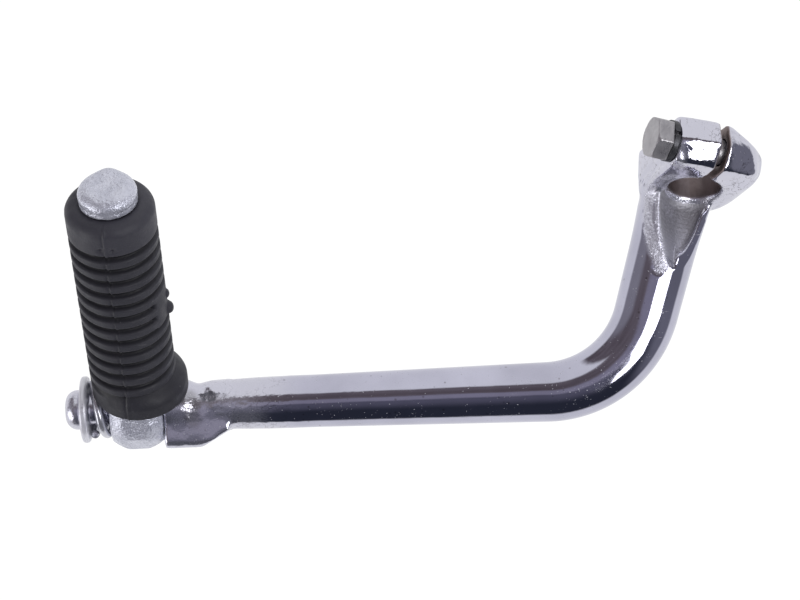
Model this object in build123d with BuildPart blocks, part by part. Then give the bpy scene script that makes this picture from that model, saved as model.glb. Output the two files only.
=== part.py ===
"""Kick start lever with a folding, sprung foot pedal. Millimetres.

Frame: the origin is the middle of the shaft bore. +Y runs along the bore, away from the engine.
+X points from the pedal towards the clamp boss, +Z is up, and the foot pushes towards -Z.
The shaft comes into the bore from -Y. The pedal is shown partly folded.
"""

import os
from math import cos, radians, sin, sqrt

from build123d import *

# Shaft bore and clamp boss
bore_diameter = 16.0
bore_chamfer = 0.6
boss_length = 15.0
boss_left = 14.5
boss_right = 16.9
boss_right_height = 13.0
boss_right_trim = 0.4
boss_waist = 15.4
boss_waist_drop = 4.0
boss_bottom = 13.0
boss_foot_half_width = 12.0
boss_foot_corner = 6.0
slit_width = 2.4

# Lug above the bore: a crest along the bolt with a facet on each side, rounded to a nose
lug_turn = 21.0
lug_crest = 21.0
lug_crest_offset = 1.0
lug_front_height = 16.5
lug_back_height = 18.8
lug_edge_round = 1.2
lug_back_round = 2.0
nose_top = 11.5
nose_corner_round = 8.0
nose_front_round = 4.5
nose_back_round = 4.5
nose_cut_start = 2.0
nose_cut_end = 12.0
nose_cut_depth = 6.0
nose_cut_foot = 3.0

# Relief for the shaft where the bar leaves the boss
relief_diameter = 20.0
relief_corner = 1.2
relief_length = 45.0

# Bar: from the boss it leans along the bore, then bends towards the pedal
leg_lean = 24.2
leg_turn = 28.0
leg_crossing = 17.1
leg_length = 87.0
reach_length = 152.7
reach_splay = 6.0
bend_radius = 33.0
bar_diameter_at_boss = 22.0
bar_diameter_at_neck = 15.4
bar_flare = 9.0
bar_flare_length = 45.0

# Shoulder that the pedal's eye turns against
collar_diameter = 17.2
collar_length = 6.6
neck_diameter = 13.6
neck_distance = 10.6
neck_taper = 4.0
stop_depth = 12.9
stop_half_width = 7.0
stop_length = 11.5
stop_ramp = 9.0
stop_chamfer = 1.9

# Pivot: a spigot turned on the bar's end, its head peened over the washer
pivot_diameter = 10.0
pivot_head_diameter = 12.6
pivot_head_length = 5.2
pivot_head_round = 3.8
running_clearance = 0.06
face_clearance = 0.1

# Pedal eye and post
eye_length = 16.6
eye_corner_diameter = 27.0
eye_sides = 8
eye_end_chamfer = 3.0
eye_seat_height = 9.5
pedal_lean = 24.1
post_diameter = 13.0
post_head_diameter = 17.4
post_head_length = 6.2
post_head_round = 3.6
fold_inward = 24.0
fold_outward = 66.0

# Pedal rubber
rubber_diameter = 26.6
rubber_length = 76.6
rubber_top_round = 3.2
rubber_clearance = 0.06
rib_grooves = 13
rib_pitch = 4.83
rib_first = 7.4
rib_groove_depth = 1.3
rib_groove_mouth = 2.6
rib_groove_floor = 1.2
flange_diameter = 29.2
flange_offset = 1.9
flange_height = 3.9
flange_flare = 7.5

# Pivot spring and washer
spring_wire = 2.7
spring_outer_diameter = 18.4
spring_gap = 6.9
spring_clearance = 0.1
washer_diameter = 20.8
washer_thickness = 2.2
washer_round = 0.7

# Detent ball and its track in the eye
ball_diameter = 3.2
ball_circle = 15.2
ball_sink = 2.2
ball_clearance = 0.05
track_clearance = 0.12
track_overrun = 14.0

# Pinch bolt and lock washer
bolt_diameter = 8.0
bolt_offset = 14.0
bolt_length = 25.0
bolt_hole_clearance = 0.6
bolt_thread_clearance = 0.1
bolt_hole_bottom = 0.6
bolt_end_chamfer = 0.8
bolt_head_flats = 12.0
bolt_head_length = 5.3
bolt_head_chamfer = 0.9
lock_washer_diameter = 12.8
lock_washer_thickness = 2.0
lock_washer_split = 1.2
lock_washer_clearance = 0.2

# Directions: the lug and its bolt across the bore, the bar's two runs, and the plane they lie in
bore_axis = Vector(0, 1, 0)
bolt_axis = Vector(cos(radians(lug_turn)), 0, -sin(radians(lug_turn)))
lug_axis = Vector(sin(radians(lug_turn)), 0, cos(radians(lug_turn)))
leg_radial = Vector(-sin(radians(leg_turn)), 0, -cos(radians(leg_turn)))
leg_axis = leg_radial * sin(radians(leg_lean)) - bore_axis * cos(radians(leg_lean))
reach_axis = Vector(-cos(radians(reach_splay)), -sin(radians(reach_splay)), 0)
bar_normal = reach_axis.cross(leg_axis).normalized()
up_in_bar_plane = reach_axis.cross(bar_normal)
outward = Vector(-sin(radians(reach_splay)), cos(radians(reach_splay)), 0)
pedal_axis = Vector(0, 0, 1) * cos(radians(pedal_lean)) + outward * sin(radians(pedal_lean))

# Key points along the bar and along the pivot
crossing = bore_axis * leg_crossing
corner = crossing + leg_axis * leg_length
pivot = corner + reach_axis * reach_length
shoulder_face = -eye_length / 2 - face_clearance
bar_end = shoulder_face - neck_distance - neck_taper
washer_face = eye_length / 2 + spring_gap
head_face = washer_face + washer_thickness
rubber_seat = pivot + pedal_axis * eye_seat_height
head_seat = -boss_left - lock_washer_thickness
ball_centre = shoulder_face - ball_sink + ball_diameter / 2
track_sweep = fold_outward + fold_inward + 2 * track_overrun
spring_radius = (spring_outer_diameter - spring_wire) / 2
spring_low = eye_length / 2 + spring_clearance + spring_wire / 2
spring_high = washer_face - spring_clearance - spring_wire / 2

# Working planes
boss_plane = Plane((0, 0, 0), x_dir=bolt_axis, z_dir=-bore_axis)
plan_plane = Plane((0, 0, 0), x_dir=bolt_axis, z_dir=lug_axis)
lug_plane = Plane((0, 0, 0), x_dir=lug_axis, z_dir=bolt_axis)
bolt_plane = Plane(lug_axis * bolt_offset, x_dir=lug_axis, z_dir=bolt_axis)
bar_plane = Plane(pivot, x_dir=reach_axis, z_dir=-bar_normal)
pivot_plane = Plane(pivot, x_dir=bar_normal, z_dir=reach_axis)
eye_plane = Plane(pivot, x_dir=pedal_axis, z_dir=reach_axis)
post_plane = Plane(rubber_seat, x_dir=-reach_axis, z_dir=pedal_axis)
rubber_plane = Plane(rubber_seat, x_dir=-reach_axis, z_dir=-reach_axis.cross(pedal_axis))
nose_start = bolt_axis * nose_cut_start + bore_axis * boss_length / 2 + lug_axis * lug_back_height
nose_along = bolt_axis * (nose_cut_end - nose_cut_start) - bore_axis * nose_cut_depth
nose_down = bolt_axis * (boss_right - nose_cut_start) - lug_axis * (lug_back_height - nose_cut_foot)
nose_plane = Plane(nose_start, x_dir=nose_along, z_dir=nose_down.cross(nose_along))
pivot_line = Axis(pivot, reach_axis)
track_normal = bar_normal.rotate(Axis((0, 0, 0), reach_axis), -fold_outward - track_overrun)
track_plane = Plane(pivot, x_dir=reach_axis, z_dir=-track_normal)
pedal_line = Axis(rubber_seat, pedal_axis)

os.makedirs("parts", exist_ok=True)

# Lever arm: one forging, with the clamp boss, the bent bar, the shoulder and the turned pivot
with BuildPart() as lever_arm:
    # Clamp boss, its seat faced flat for the bolt and its nose rounded
    with BuildSketch(boss_plane) as boss_outline:
        with BuildLine():
            Polyline(
                (-2 * boss_left, lug_crest),
                (nose_top, lug_crest),
                (boss_right, boss_right_height),
                (boss_waist, -boss_waist_drop),
                (boss_foot_half_width, -boss_bottom),
                (-boss_foot_half_width, -boss_bottom),
                (-2 * boss_left, 0),
                close=True,
            )
        make_face()
        fillet(boss_outline.vertices().group_by(Axis.Y)[0], boss_foot_corner)
        nose_corner = boss_outline.vertices().group_by(Axis.Y)[-1].sort_by(Axis.X)[-1]
        fillet(nose_corner, nose_corner_round)
    extrude(amount=boss_length / 2, both=True)
    with BuildSketch(plan_plane) as boss_plan:
        with Locations((-boss_left, 0)):
            Rectangle(boss_left + boss_right - boss_right_trim, boss_length, align=(Align.MIN, Align.CENTER))
        front_corner = boss_plan.vertices().group_by(Axis.X)[-1].sort_by(Axis.Y)[0]
        fillet(front_corner, nose_front_round)
        back_corner = boss_plan.vertices().group_by(Axis.X)[-1].sort_by(Axis.Y)[-1]
        fillet(back_corner, nose_back_round)
    extrude(amount=2 * lug_crest, both=True, mode=Mode.INTERSECT)

    # Facets on both sides of the lug's crest, and the sloped back of its nose
    with BuildSketch(lug_plane):
        with BuildLine():
            Polyline(
                (lug_crest, lug_crest_offset),
                (lug_front_height, boss_length / 2),
                (lug_crest, boss_length / 2),
                close=True,
            )
        make_face()
        with BuildLine():
            Polyline(
                (lug_crest, lug_crest_offset),
                (lug_back_height, -boss_length / 2),
                (lug_crest, -boss_length / 2),
                close=True,
            )
        make_face()
    extrude(amount=2 * boss_left, both=True, mode=Mode.SUBTRACT)
    split(bisect_by=nose_plane, keep=Keep.TOP)
    lug_edges = lever_arm.edges().filter_by(Axis((0, 0, 0), bolt_axis)).group_by(Axis((0, 0, 0), lug_axis))
    fillet(lug_edges[-1], lug_edge_round)
    lug_edges = lever_arm.edges().filter_by(Axis((0, 0, 0), bolt_axis)).group_by(Axis((0, 0, 0), bore_axis))
    back_edge = lug_edges[-1].sort_by(Axis((0, 0, 0), lug_axis))[-1]
    fillet(back_edge, lug_back_round)

    # Tapered bar, flared into the boss and trimmed at the boss's outer face
    with BuildLine() as bar_path:
        FilletPolyline(crossing, corner, pivot + reach_axis * bar_end, radius=bend_radius)
    for share in (0.0, 0.15, 0.3, 0.5, 0.75, 1.0):
        taper = share * (bar_diameter_at_boss - bar_diameter_at_neck)
        flare = bar_flare * max(0.0, 1 - share * bar_path.wire().length / bar_flare_length) ** 2
        with BuildSketch(Plane(bar_path.line @ share, z_dir=bar_path.line % share)):
            Circle((bar_diameter_at_boss - taper + flare) / 2)
    sweep(path=bar_path.line, multisection=True)
    split(bisect_by=Plane(bore_axis * boss_length / 2, z_dir=bore_axis), keep=Keep.BOTTOM)

    # Shaft bore with chamfered mouths, and the relief that clears the shaft beyond it
    with BuildSketch(lug_plane) as bore_profile:
        with BuildLine():
            Polyline(
                (0, -boss_length / 2),
                (bore_diameter / 2 + bore_chamfer, -boss_length / 2),
                (bore_diameter / 2, bore_chamfer - boss_length / 2),
                (bore_diameter / 2, boss_length / 2 - bore_chamfer),
                (bore_diameter / 2 + bore_chamfer, boss_length / 2),
                (relief_diameter / 2, boss_length / 2),
                (relief_diameter / 2, boss_length / 2 + relief_length),
                (0, boss_length / 2 + relief_length),
                close=True,
            )
        make_face()
        relief_rim = bore_profile.vertices().group_by(Axis.X)[-1].sort_by(Axis.Y)[0]
        fillet(relief_rim, relief_corner)
    revolve(axis=Axis.Y, mode=Mode.SUBTRACT)

    # Clamping slit, and the bolt's clearance hole and tapped hole on its two sides
    with BuildSketch(boss_plane):
        with Locations((0, lug_crest)):
            Rectangle(slit_width, 2 * lug_crest)
    extrude(amount=boss_length, both=True, mode=Mode.SUBTRACT)
    with BuildSketch(bolt_plane):
        Circle((bolt_diameter + bolt_hole_clearance) / 2)
    extrude(amount=-2 * boss_left, mode=Mode.SUBTRACT)
    with BuildSketch(bolt_plane):
        Circle((bolt_diameter + bolt_thread_clearance) / 2)
    extrude(amount=head_seat + bolt_length + bolt_hole_bottom, mode=Mode.SUBTRACT)

    # Shoulder, pivot spigot and peened head, turned about the pivot
    with BuildSketch(bar_plane) as turned_end:
        with BuildLine():
            Polyline(
                (bar_end, 0),
                (bar_end, bar_diameter_at_neck / 2),
                (shoulder_face - neck_distance, neck_diameter / 2),
                (shoulder_face - collar_length, collar_diameter / 2),
                (shoulder_face, collar_diameter / 2),
                (shoulder_face, pivot_diameter / 2),
                (head_face, pivot_diameter / 2),
                (head_face, pivot_head_diameter / 2),
                (head_face + pivot_head_length, pivot_head_diameter / 2),
                (head_face + pivot_head_length, 0),
                close=True,
            )
        make_face()
        head_corner = turned_end.vertices().group_by(Axis.X)[-1].sort_by(Axis.Y)[-1]
        fillet(head_corner, pivot_head_round)
    revolve(axis=pivot_line)

    # Block under the shoulder, running out into the bar
    with BuildSketch(bar_plane):
        with BuildLine():
            Polyline(
                (shoulder_face, 0),
                (shoulder_face, -stop_depth),
                (shoulder_face - stop_length, -stop_depth),
                (shoulder_face - stop_length - stop_ramp, -bar_diameter_at_neck / 2),
                (shoulder_face - stop_length - stop_ramp, 0),
                close=True,
            )
        make_face()
    extrude(amount=stop_half_width, both=True)
    block_edges = lever_arm.edges(Select.LAST).filter_by(pivot_line)
    chamfer(block_edges.group_by(Axis(pivot, up_in_bar_plane))[0], stop_chamfer)

    # Drilled pocket for the detent ball in the shoulder's face
    with BuildSketch(pivot_plane.offset(shoulder_face)):
        with Locations((0, -ball_circle / 2)):
            Circle(ball_diameter / 2 + ball_clearance)
    extrude(amount=-ball_sink - ball_clearance, mode=Mode.SUBTRACT)

lever_arm.part.label = "lever_arm"
export_step(lever_arm.part, "parts/lever_arm.step")

# Foot pedal: one forging, a faceted eye on the pivot and a post that carries the rubber
with BuildPart() as pedal_post:
    with BuildSketch(eye_plane):
        RegularPolygon(eye_corner_diameter / 2, eye_sides)
    extrude(amount=eye_length / 2, both=True)
    eye_ends = pedal_post.faces().filter_by(pivot_line)
    chamfer(eye_ends.edges(), eye_end_chamfer)
    split(bisect_by=Plane(rubber_seat, z_dir=pedal_axis), keep=Keep.BOTTOM)

    # Post and its rounded head
    with BuildSketch(rubber_plane) as post_profile:
        with BuildLine():
            Polyline(
                (0, 0),
                (post_diameter / 2, 0),
                (post_diameter / 2, rubber_length + rubber_clearance),
                (post_head_diameter / 2, rubber_length + rubber_clearance),
                (post_head_diameter / 2, rubber_length + post_head_length),
                (0, rubber_length + post_head_length),
                close=True,
            )
        make_face()
        head_rim = post_profile.vertices().group_by(Axis.Y)[-1].sort_by(Axis.X)[-1]
        fillet(head_rim, post_head_round)
    revolve(axis=pedal_line)

    # Hole for the pivot, and the ball's track in the face towards the shoulder
    with BuildSketch(eye_plane):
        Circle(pivot_diameter / 2 + running_clearance)
    extrude(amount=eye_length, both=True, mode=Mode.SUBTRACT)
    with BuildSketch(track_plane):
        with Locations((ball_centre, -ball_circle / 2)):
            Circle(ball_diameter / 2 + track_clearance)
    revolve(axis=pivot_line, revolution_arc=track_sweep, mode=Mode.SUBTRACT)

pedal_post.part.label = "pedal_post"
export_step(pedal_post.part, "parts/pedal_post.step")

# Pedal rubber: a moulded sleeve on the post, ribbed for the foot and flared at the base towards the arm
with BuildPart() as pedal_rubber:
    with BuildSketch(rubber_plane) as sleeve_profile:
        with BuildLine():
            Polyline(
                (0, rubber_clearance),
                (rubber_diameter / 2, rubber_clearance),
                (rubber_diameter / 2, rubber_length),
                (0, rubber_length),
                close=True,
            )
        make_face()
        sleeve_rim = sleeve_profile.vertices().group_by(Axis.Y)[-1].sort_by(Axis.X)[-1]
        fillet(sleeve_rim, rubber_top_round)
    revolve(axis=pedal_line)
    with BuildSketch(rubber_plane):
        for groove in range(rib_grooves):
            groove_height = rib_first + groove * rib_pitch
            with BuildLine():
                Polyline(
                    (rubber_diameter / 2, groove_height - rib_groove_mouth / 2),
                    (rubber_diameter / 2, groove_height + rib_groove_mouth / 2),
                    (rubber_diameter / 2 - rib_groove_depth, groove_height + rib_groove_floor / 2),
                    (rubber_diameter / 2 - rib_groove_depth, groove_height - rib_groove_floor / 2),
                    close=True,
                )
            make_face()
    revolve(axis=pedal_line, mode=Mode.SUBTRACT)

    # Base flange, set off towards the arm, with a flare up to the ribs
    with BuildSketch(post_plane.offset(rubber_clearance)):
        with Locations((flange_offset, 0)):
            Circle(flange_diameter / 2)
    extrude(amount=flange_height)
    with BuildSketch(post_plane.offset(rubber_clearance + flange_height)):
        with Locations((flange_offset, 0)):
            Circle(flange_diameter / 2)
    with BuildSketch(post_plane.offset(rubber_clearance + flange_height + flange_flare)):
        Circle(rubber_diameter / 2 - rib_groove_depth)
    loft()
    with BuildSketch(post_plane):
        Circle(post_diameter / 2 + rubber_clearance)
    extrude(amount=rubber_length + rubber_clearance, mode=Mode.SUBTRACT)

pedal_rubber.part.label = "pedal_rubber"
export_step(pedal_rubber.part, "parts/pedal_rubber.step")

# Pivot spring: a turn and a half of wire with flat ends, the crossing half turn in front
crossing_plane = Plane(pivot + reach_axis * spring_low, x_dir=-up_in_bar_plane, z_dir=reach_axis)
spring_advance = spring_high - spring_low
crossing_turn = crossing_plane * Helix(2 * spring_advance, spring_advance, spring_radius)
with BuildPart() as pivot_spring:
    with BuildSketch(bar_plane):
        with Locations((spring_low, -spring_radius)):
            Circle(spring_wire / 2)
    revolve(axis=pivot_line, revolution_arc=-180)
    with BuildSketch(bar_plane):
        with Locations((spring_high, -spring_radius)):
            Circle(spring_wire / 2)
    revolve(axis=pivot_line, revolution_arc=-180)
    with BuildSketch(Plane(crossing_turn @ 0, z_dir=crossing_turn % 0)):
        Circle(spring_wire / 2)
    sweep(path=crossing_turn, is_frenet=True)
    with Locations(crossing_turn @ 0, crossing_turn @ 1):
        Sphere(spring_wire / 2)

pivot_spring.part.label = "pivot_spring"
export_step(pivot_spring.part, "parts/pivot_spring.step")

# Pivot washer: turned steel, held on the spigot by the peened head
with BuildPart() as pivot_washer:
    with BuildSketch(pivot_plane.offset(washer_face)):
        Circle(washer_diameter / 2)
    extrude(amount=washer_thickness)
    fillet(pivot_washer.edges(), washer_round)
    with BuildSketch(pivot_plane.offset(washer_face)):
        Circle(pivot_diameter / 2)
    extrude(amount=washer_thickness, mode=Mode.SUBTRACT)

pivot_washer.part.label = "pivot_washer"
export_step(pivot_washer.part, "parts/pivot_washer.step")

# Pinch bolt: hex head, chamfered on its outer face
with BuildPart() as pinch_bolt:
    with BuildSketch(bolt_plane.offset(head_seat)):
        Circle(bolt_head_flats / sqrt(3))
    extrude(amount=-bolt_head_length)
    head_top = pinch_bolt.faces().sort_by(Axis((0, 0, 0), bolt_axis))[0]
    chamfer(head_top.edges(), bolt_head_chamfer)
    with BuildSketch(bolt_plane.offset(head_seat)):
        RegularPolygon(bolt_head_flats / 2, 6, major_radius=False, rotation=30)
    extrude(amount=-bolt_head_length, mode=Mode.INTERSECT)
    with BuildSketch(bolt_plane.offset(head_seat)):
        Circle(bolt_diameter / 2)
    extrude(amount=bolt_length)
    shank_end = pinch_bolt.faces().sort_by(Axis((0, 0, 0), bolt_axis))[-1]
    chamfer(shank_end.edges(), bolt_end_chamfer)

pinch_bolt.part.label = "pinch_bolt"
export_step(pinch_bolt.part, "parts/pinch_bolt.step")

# Lock washer: a split spring ring, closed flat under the bolt's head
with BuildPart() as lock_washer:
    with BuildSketch(bolt_plane.offset(head_seat)):
        Circle(lock_washer_diameter / 2)
        Circle(bolt_diameter / 2 + lock_washer_clearance, mode=Mode.SUBTRACT)
        with Locations((lock_washer_diameter / 2, 0)):
            Rectangle(lock_washer_diameter, lock_washer_split, mode=Mode.SUBTRACT)
    extrude(amount=lock_washer_thickness)

lock_washer.part.label = "lock_washer"
export_step(lock_washer.part, "parts/lock_washer.step")

# Detent ball: sits in the shoulder's pocket and runs in the eye's track
with BuildPart() as detent_ball:
    with Locations(pivot + reach_axis * ball_centre - up_in_bar_plane * ball_circle / 2):
        Sphere(ball_diameter / 2)

detent_ball.part.label = "detent_ball"
export_step(detent_ball.part, "parts/detent_ball.step")
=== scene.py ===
from math import atan2, cos, exp, pi, sin, tan

import bmesh
import bpy
from mathutils import Matrix, Vector, noise
from mathutils.geometry import intersect_point_line


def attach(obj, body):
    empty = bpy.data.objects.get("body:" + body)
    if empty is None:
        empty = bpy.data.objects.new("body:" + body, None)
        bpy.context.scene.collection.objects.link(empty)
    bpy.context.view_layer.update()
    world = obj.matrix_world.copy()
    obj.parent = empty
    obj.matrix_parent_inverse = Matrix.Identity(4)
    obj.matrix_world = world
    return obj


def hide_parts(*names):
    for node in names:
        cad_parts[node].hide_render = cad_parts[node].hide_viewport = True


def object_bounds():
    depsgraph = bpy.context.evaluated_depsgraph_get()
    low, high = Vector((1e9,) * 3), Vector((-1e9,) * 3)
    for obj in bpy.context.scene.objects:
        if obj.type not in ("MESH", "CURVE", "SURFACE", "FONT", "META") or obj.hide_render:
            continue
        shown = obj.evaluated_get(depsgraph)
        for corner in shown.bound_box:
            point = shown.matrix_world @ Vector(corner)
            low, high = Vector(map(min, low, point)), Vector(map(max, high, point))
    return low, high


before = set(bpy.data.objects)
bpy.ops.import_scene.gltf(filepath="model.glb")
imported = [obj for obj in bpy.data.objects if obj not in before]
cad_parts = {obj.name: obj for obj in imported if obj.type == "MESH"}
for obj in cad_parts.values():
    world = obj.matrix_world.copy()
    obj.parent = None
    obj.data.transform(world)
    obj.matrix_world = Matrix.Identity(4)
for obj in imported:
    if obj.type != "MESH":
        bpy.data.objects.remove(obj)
cad_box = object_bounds()

# Lever arm: one steel forging, bent and chromed. The clamp boss, the tapered bar, the shoulder with the
# block below it and the turned pivot are one piece, with edges that grinding and plating have softened.
bar_crossing = Vector((0, 0.0171, 0))
bar_corner = Vector((-0.0167429, -0.0622544, -0.0314888))
leg_axis = Vector((-0.192447, -0.91212, -0.361941))
reach_axis = Vector((-0.994522, -0.104528, 0))
bar_side = reach_axis.cross(leg_axis).normalized()
leg_length = 0.087
bend_radius = 0.033
bend_angle = leg_axis.angle(reach_axis)
bend_trim = bend_radius * tan(bend_angle / 2)
bend_end = bar_corner + reach_axis * bend_trim
bend_inward = (reach_axis - leg_axis * reach_axis.dot(leg_axis)).normalized()
bend_centre = bar_corner - leg_axis * bend_trim + bend_inward * bend_radius
leg_run = leg_length - bend_trim
bar_run = 0.2098
bar_thick_end = 0.022
bar_taper = 0.0066
flare_width = 0.009
flare_length = 0.045
bolt_axis = Vector((0.93358, 0, -0.358368))
lug_axis = Vector((0.358368, 0, 0.93358))
lug_front = Vector((0.29, -0.57, 0.77)).normalized()
lug_front_point = Vector((-0.0003, -0.00352, 0.02074))
boss_foot = Vector((-0.0145, -0.0085, -0.003))
pivot = Vector((-0.168606, -0.0782159, -0.0314888))
shoulder_up = Vector((-0.096781, 0.920813, 0.377805))
shoulder_front = Vector((0.039491, -0.375735, 0.925885))
block_foot = pivot - reach_axis * 0.0135 - shoulder_up * 0.0125
join_distance = 1e-6
arm_voxel = 0.0005


def soft_step(low, high, value):
    """0 below low, 1 above high, and an even slope between them."""
    share = min(1, max(0, (value - low) / (high - low)))
    return share * share * (3 - 2 * share)


def place_object(name, data):
    """A new object at the origin, in the scene."""
    placed = bpy.data.objects.new(name, data)
    bpy.context.scene.collection.objects.link(placed)
    return placed


def open_mesh(mesh):
    """A mesh opened for shaping."""
    shape = bmesh.new()
    shape.from_mesh(mesh)
    return shape


def close_mesh(shape, piece):
    """The finished shape put back on its piece, with smooth shading."""
    shape.to_mesh(piece.data)
    shape.free()
    piece.data.shade_smooth()


def skin_copy(node, name, voxel):
    """A copy of a node with its loose triangles joined, rebuilt as an even skin that can be smoothed."""
    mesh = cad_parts[node].data.copy()
    mesh.materials.clear()
    shape = open_mesh(mesh)
    bmesh.ops.remove_doubles(shape, verts=shape.verts, dist=join_distance)
    shape.to_mesh(mesh)
    shape.free()
    piece = place_object(name, mesh)
    skin = piece.modifiers.new("skin", "REMESH")
    skin.mode = "VOXEL"
    skin.voxel_size = voxel
    piece.data = bpy.data.meshes.new_from_object(piece.evaluated_get(bpy.context.evaluated_depsgraph_get()))
    piece.data.name = name
    piece.modifiers.clear()
    return piece


def relax(shape, verts, rounds):
    """Evens out part of a skin, as grinding and plating round an edge."""
    for _ in range(rounds):
        bmesh.ops.smooth_vert(shape, verts=verts, factor=0.5, use_axis_x=True, use_axis_y=True, use_axis_z=True)


def bar_station(point):
    """The nearest point on the bar's centreline, and its distance along the bar from the boss."""
    along_leg = (point - bar_crossing).dot(leg_axis)
    along_reach = (point - bend_end).dot(reach_axis)
    if along_leg < leg_run:
        return bar_crossing + leg_axis * along_leg, along_leg
    if along_reach > 0:
        return bend_end + reach_axis * along_reach, leg_run + bend_radius * bend_angle + along_reach
    spoke = point - bend_centre
    spoke = (spoke - bar_side * spoke.dot(bar_side)).normalized()
    return bend_centre + spoke * bend_radius, leg_run + bend_radius * spoke.angle(-bend_inward)


def bar_radius(station):
    """The bar's radius at a distance from the boss: a taper, with a flare into the boss."""
    flare = flare_width * max(0, 1 - station / flare_length) ** 2
    return (bar_thick_end - bar_taper * station / bar_run + flare) / 2


def bore_radius(point):
    """A point's distance from the middle of the shaft bore."""
    return (point.x ** 2 + point.z ** 2) ** 0.5


def mm_line(*points):
    """A line through some points on the forging, given in millimetres."""
    return [Vector(point) * 0.001 for point in points]


def near_line(point, line, reach):
    """1 on a line through some points, falling to 0 at a distance from it."""
    least = reach
    for first, second in zip(line, line[1:]):
        foot, share = intersect_point_line(point, first, second)
        if share < 0:
            foot = first
        if share > 1:
            foot = second
        least = min(least, (point - foot).length)
    return 1 - soft_step(0.3 * reach, reach, least)


# Where the hammer and the die have left marks: the strip beside the hollow and the hollow's rim, the skin
# that flowed round the bore and below the bolt, the neck, the shoulder, its corner and the ridge next to it.
hammered_edge = mm_line((-13.6, -9.6, -2.8), (-13.7, -14.1, -4.1), (-13.2, -18.2, -4.8), (-12.1, -22.8, -5.6),
                        (-10.4, -26.7, -6.4), (-8.9, -30.4, -7.8))
hammered_rim = mm_line((-10.7, -9.6, 0), (-10.6, -14.1, -2.1), (-10.2, -18.2, -3.1), (-9.6, -22.8, -4.8),
                       (-8.6, -26.7, -6.4), (-7.8, -30.4, -8))
flowed_skin = mm_line((-13, -7.5, -0.6), (-11.6, -7.5, 6), (-7.6, -7.5, 9.2))
flowed_lug = mm_line((-7, -2, 21.5), (-6, -5, 19.8), (-6, -7.5, 16.5))
forged_neck = mm_line((-149, -77.5, -23.6), (-143, -77.5, -23.4), (-136, -77, -23.6))
forged_shoulder = mm_line((-157, -79, -23.5), (-150, -79, -23.2))
forged_corner = mm_line((-152, -76.5, -23.8), (-151.5, -79.8, -24.5), (-150.5, -83, -26.2))
forged_ridge = mm_line((-147.3, -75.3, -24.2), (-144.9, -77.6, -24), (-142.3, -80, -25))
forged_creases = [mm_line((-10.4, -4.2, 13), (-12.5, -4.3, 7.9), (-14, -5.2, 4), (-15.5, -6.2, 0)),
                  mm_line((-13.4, -2.2, 5.4), (-15, -2.9, 1.4), (-16.4, -4.2, -2.3))]
# Each mark's line, reach, share of rough skin (which the chrome paints lighter, as a painted reflection), share of
# lumps and share of dull plating.
forging_marks = [(hammered_edge, 0.0034, 1, 1, 0), (hammered_rim, 0.0028, 0.9, 0.9, 0),
                 (flowed_skin, 0.0032, 0.8, 0.8, 0), (flowed_lug, 0.0028, 0.8, 0.8, 0),
                 (forged_neck, 0.005, 0.55, 0.35, 0), (forged_shoulder, 0.0055, 0.55, 0.15, 0),
                 (forged_corner, 0.004, 0.55, 0.5, 0.8), (forged_ridge, 0.0026, 0.5, 1, 0)]
crease_reach = 0.0017
crease_depth = 0.0004
crease_change = 0.0003
crease_scale = 420
fine_lump = 0.0002
fine_lump_scale = 620
broad_lump = 0.0004
broad_lump_scale = 300
lump_sink = 0.0001

forged_arm = skin_copy("lever_arm", "forged_arm", arm_voxel)
arm_shape = open_mesh(forged_arm.data)
rough_layer = arm_shape.verts.layers.float.new("rough_skin")
bare_layer = arm_shape.verts.layers.float.new("bare_steel")
ground_layer = arm_shape.verts.layers.float.new("ground_hollow")
dull_layer = arm_shape.verts.layers.float.new("dull_plating")
grime_layer = arm_shape.verts.layers.float.new("grime")

# Edges are softened one region after another: the whole arm, the boss beside the slit, the lug's facets, the
# boss's foot, the block, the neck, the shoulder's corner, the hollow's edge and the bore's lip.
boss_face = -0.0082
boss_left = -0.03
slit_edge = 0.0021
facet_back = 0.003
facet_foot = 0.013
foot_reach = 0.0075
block_reach = 0.016
block_top = -0.006
neck_from = bar_run - 0.024
neck_to = bar_run - 0.002
corner_reach = 0.007
hollow_radius = 0.01
hollow_band = 0.002
hollow_left = 0.001
lip_heights = (-0.0098, -0.0062)
lip_radii = (0.0081, 0.0112)
relax(arm_shape, arm_shape.verts, rounds=5)
boss_skin = [v for v in arm_shape.verts
             if v.co.y > boss_face and v.co.x > boss_left and abs(v.co.dot(bolt_axis)) > slit_edge]
relax(arm_shape, boss_skin, rounds=7)
facet_skin = [v for v in boss_skin if v.co.y < facet_back and v.co.dot(lug_axis) > facet_foot]
relax(arm_shape, facet_skin, rounds=24)
foot_skin = [v for v in arm_shape.verts if (v.co - boss_foot).length < foot_reach]
relax(arm_shape, foot_skin, rounds=45)
block_skin = [v for v in arm_shape.verts
              if (v.co - block_foot).length < block_reach and (v.co - pivot).dot(shoulder_up) < block_top]
relax(arm_shape, block_skin, rounds=4)
neck_skin = [v for v in arm_shape.verts if neck_from < bar_station(v.co)[1] < neck_to]
relax(arm_shape, neck_skin, rounds=12)
corner_skin = [v for v in arm_shape.verts if near_line(v.co, forged_corner, corner_reach) > 0]
relax(arm_shape, corner_skin, rounds=60)
hollow_edge = [v for v in arm_shape.verts
               if v.co.y < boss_face and abs(bore_radius(v.co) - hollow_radius) < hollow_band]
relax(arm_shape, hollow_edge, rounds=9)
hammered_side = [v for v in hollow_edge if v.co.x < hollow_left]
relax(arm_shape, hammered_side, rounds=24)
bore_lip = [v for v in arm_shape.verts
            if lip_heights[0] < v.co.y < lip_heights[1] and lip_radii[0] < bore_radius(v.co) < lip_radii[1]]
relax(arm_shape, bore_lip, rounds=14)

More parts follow.
